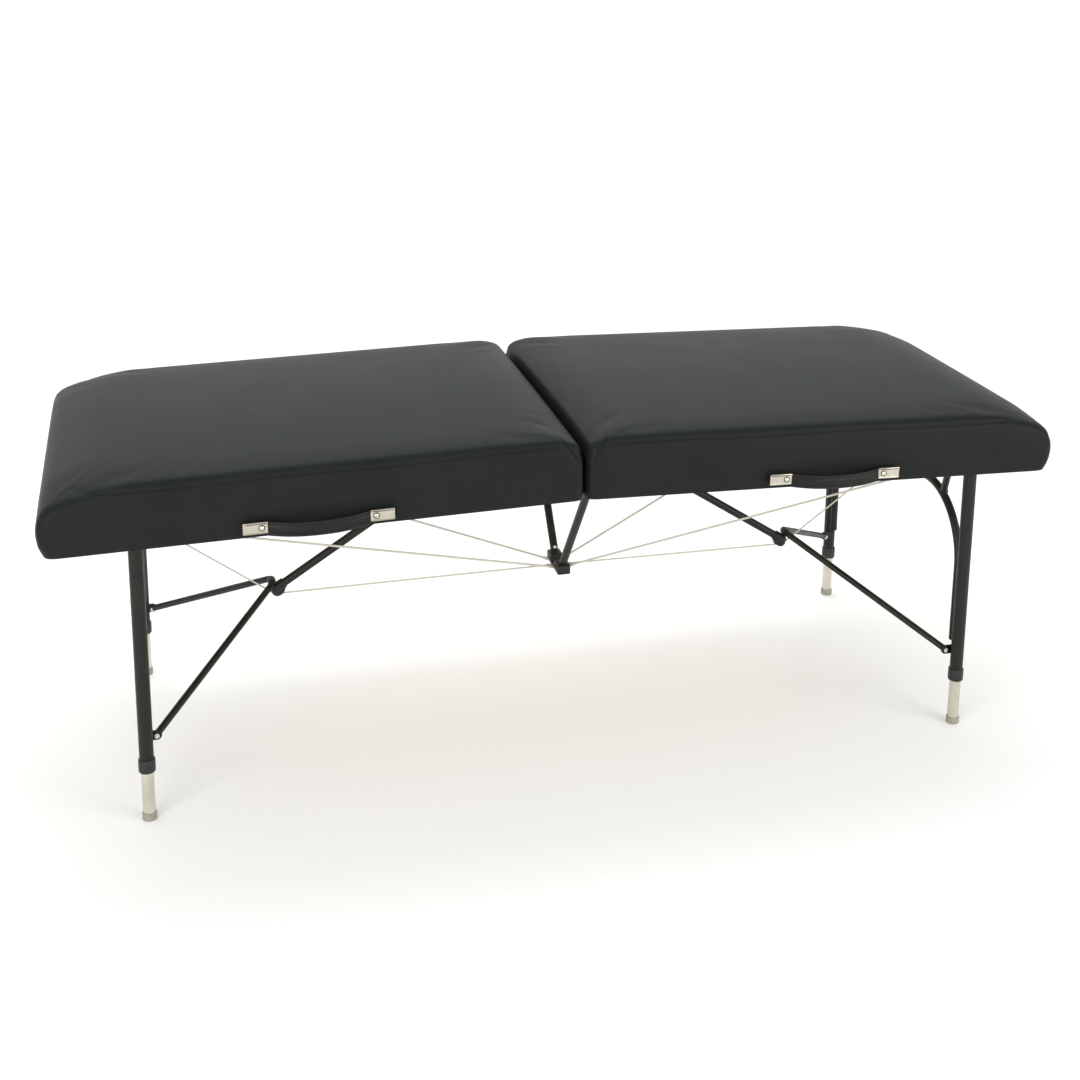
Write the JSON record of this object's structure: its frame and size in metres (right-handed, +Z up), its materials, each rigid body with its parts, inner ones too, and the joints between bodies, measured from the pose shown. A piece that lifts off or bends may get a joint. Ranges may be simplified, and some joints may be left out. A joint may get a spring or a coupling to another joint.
{
  "type": "folding massage table",
  "caption": "Portable massage table that folds in half, with padded vinyl top, cable-braced folding leg frames, telescopic legs and carrying handles.",
  "frame": {"origin": "on the floor under the middle of the whole table's box, handles included", "axes": "+X along the table, towards the half that carries the king post; the handles are on the -Y side; +Z up"},
  "size_m": [1.8898, 0.7268, 0.6686],
  "materials": {
    "vinyl": "soft upholstery vinyl, fine grain",
    "strap_vinyl": "stitched vinyl strap",
    "ply": "plain plywood",
    "rail_wood": "dark stained wood",
    "black_coat": "satin black powder coat",
    "black_cast": "matt moulded",
    "anodised": "clear anodised",
    "nickel": "bright nickel plate",
    "zinc": "zinc plate",
    "pale_rubber": "pale grey rubber",
    "grey_plastic": "matt moulded",
    "coated_wire": "clear vinyl over wire rope"
  },
  "bodies": {
    "left_half": {"left_frame": "rail_wood", "left_deck": "ply", "left_cushion": "vinyl", "left_leg_rod": "zinc", "left_strut_bracket": "black_coat", "left_handle_strap": "strap_vinyl", "left_handle_cap_inner": "nickel", "left_handle_cap_outer": "nickel", "left_hinge_leaf": "zinc", "left_cable_near": "coated_wire", "left_cable_far": "coated_wire", "left_cable_brace": "coated_wire"},
    "left_legs": {"left_end_frame": "black_coat", "left_near_leg": "black_coat", "left_near_collar": "grey_plastic", "left_near_brace_nut": "zinc", "left_far_leg": "black_coat", "left_far_collar": "grey_plastic", "left_far_brace_nut": "zinc"},
    "left_near_extension": {"left_near_extension": "anodised", "left_near_foot": "pale_rubber"},
    "left_near_button": {"left_near_button": "zinc"},
    "left_far_extension": {"left_far_extension": "anodised", "left_far_foot": "pale_rubber"},
    "left_far_button": {"left_far_button": "zinc"},
    "left_strut": {"left_strut": "black_coat", "left_knuckle": "black_cast"},
    "left_brace": {"left_brace": "black_coat"},
    "right_half": {"right_frame": "rail_wood", "right_deck": "ply", "right_cushion": "vinyl", "right_leg_rod": "zinc", "right_strut_bracket": "black_coat", "right_handle_strap": "strap_vinyl", "right_handle_cap_inner": "nickel", "right_handle_cap_outer": "nickel", "right_hinge_leaf": "zinc", "right_cable_near": "coated_wire", "right_cable_far": "coated_wire", "right_cable_brace": "coated_wire", "king_hanger": "black_coat"},
    "right_legs": {"right_end_frame": "black_coat", "right_near_leg": "black_coat", "right_near_collar": "grey_plastic", "right_near_brace_nut": "zinc", "right_far_leg": "black_coat", "right_far_collar": "grey_plastic", "right_far_brace_nut": "zinc"},
    "right_near_extension": {"right_near_extension": "anodised", "right_near_foot": "pale_rubber"},
    "right_near_button": {"right_near_button": "zinc"},
    "right_far_extension": {"right_far_extension": "anodised", "right_far_foot": "pale_rubber"},
    "right_far_button": {"right_far_button": "zinc"},
    "right_strut": {"right_strut": "black_coat", "right_knuckle": "black_cast"},
    "right_brace": {"right_brace": "black_coat"},
    "king_post": {"king_tube_near": "black_coat", "king_tube_far": "black_coat", "king_shoe": "black_cast"}
  },
  "joints": [
    {"name": "table_fold", "type": "hinge", "parent": "left_half", "child": "right_half", "pos_m": [0, 0.01042, 0.552], "axis": [0, 1, 0], "range_deg": [0, 177.28], "deforming": ["left_cable_near", "left_cable_far", "left_cable_brace", "right_cable_near", "right_cable_far", "right_cable_brace"]},
    {"name": "king_swing", "type": "hinge", "parent": "right_half", "child": "king_post", "pos_m": [0.04124, 0.01042, 0.56952], "axis": [0, -1, 0], "range_deg": [0, 88.64]},
    {"name": "left_legs_fold", "type": "hinge", "parent": "left_half", "child": "left_legs", "pos_m": [-0.76099, 0.01042, 0.57594], "axis": [0, -1, 0], "range_deg": [0, 91.36]},
    {"name": "left_strut_swing", "type": "hinge", "parent": "left_half", "child": "left_strut", "pos_m": [-0.06119, 0.01042, 0.59182], "axis": [0, 1, 0], "range_deg": [0, 31.49]},
    {"name": "left_brace_swing", "type": "hinge", "parent": "left_legs", "child": "left_brace", "pos_m": [-0.76229, 0.01042, 0.154], "axis": [0, -1, 0], "range_deg": [0, 52.36]},
    {"name": "left_near_height", "type": "slide", "parent": "left_legs", "child": "left_near_extension", "axis": [0, 0, 1], "range_m": [-0.1778, 0.0762]},
    {"name": "left_near_press", "type": "slide", "parent": "left_legs", "child": "left_near_button", "axis": [1, 0, 0], "range_m": [0, 0.0025], "stiffness_N_per_m": 800, "springref_m": -0.002},
    {"name": "left_far_height", "type": "slide", "parent": "left_legs", "child": "left_far_extension", "axis": [0, 0, 1], "range_m": [-0.1778, 0.0762]},
    {"name": "left_far_press", "type": "slide", "parent": "left_legs", "child": "left_far_button", "axis": [1, 0, 0], "range_m": [0, 0.0025], "stiffness_N_per_m": 800, "springref_m": -0.002},
    {"name": "right_legs_fold", "type": "hinge", "parent": "right_half", "child": "right_legs", "pos_m": [0.76099, 0.01042, 0.57594], "axis": [0, 1, 0], "range_deg": [0, 91.36]},
    {"name": "right_strut_swing", "type": "hinge", "parent": "right_half", "child": "right_strut", "pos_m": [0.06119, 0.01042, 0.59182], "axis": [0, -1, 0], "range_deg": [0, 31.49]},
    {"name": "right_brace_swing", "type": "hinge", "parent": "right_legs", "child": "right_brace", "pos_m": [0.76229, 0.01042, 0.154], "axis": [0, 1, 0], "range_deg": [0, 52.36]},
    {"name": "right_near_height", "type": "slide", "parent": "right_legs", "child": "right_near_extension", "axis": [0, 0, 1], "range_m": [-0.1778, 0.0762]},
    {"name": "right_near_press", "type": "slide", "parent": "right_legs", "child": "right_near_button", "axis": [-1, 0, 0], "range_m": [0, 0.0025], "stiffness_N_per_m": 800, "springref_m": -0.002},
    {"name": "right_far_height", "type": "slide", "parent": "right_legs", "child": "right_far_extension", "axis": [0, 0, 1], "range_m": [-0.1778, 0.0762]},
    {"name": "right_far_press", "type": "slide", "parent": "right_legs", "child": "right_far_button", "axis": [-1, 0, 0], "range_m": [0, 0.0025], "stiffness_N_per_m": 800, "springref_m": -0.002}
  ],
  "couplings": [
    {"joint": "king_swing", "follows": "table_fold", "ratio": 0.5},
    {"joint": "left_legs_fold", "follows": "table_fold", "ratio": 0.51534},
    {"joint": "left_strut_swing", "follows": "table_fold", "ratio": 0.17761},
    {"joint": "left_brace_swing", "follows": "table_fold", "ratio": 0.29533},
    {"joint": "right_legs_fold", "follows": "table_fold", "ratio": 0.51534},
    {"joint": "right_strut_swing", "follows": "table_fold", "ratio": 0.17761},
    {"joint": "right_brace_swing", "follows": "table_fold", "ratio": 0.29533}
  ]
}
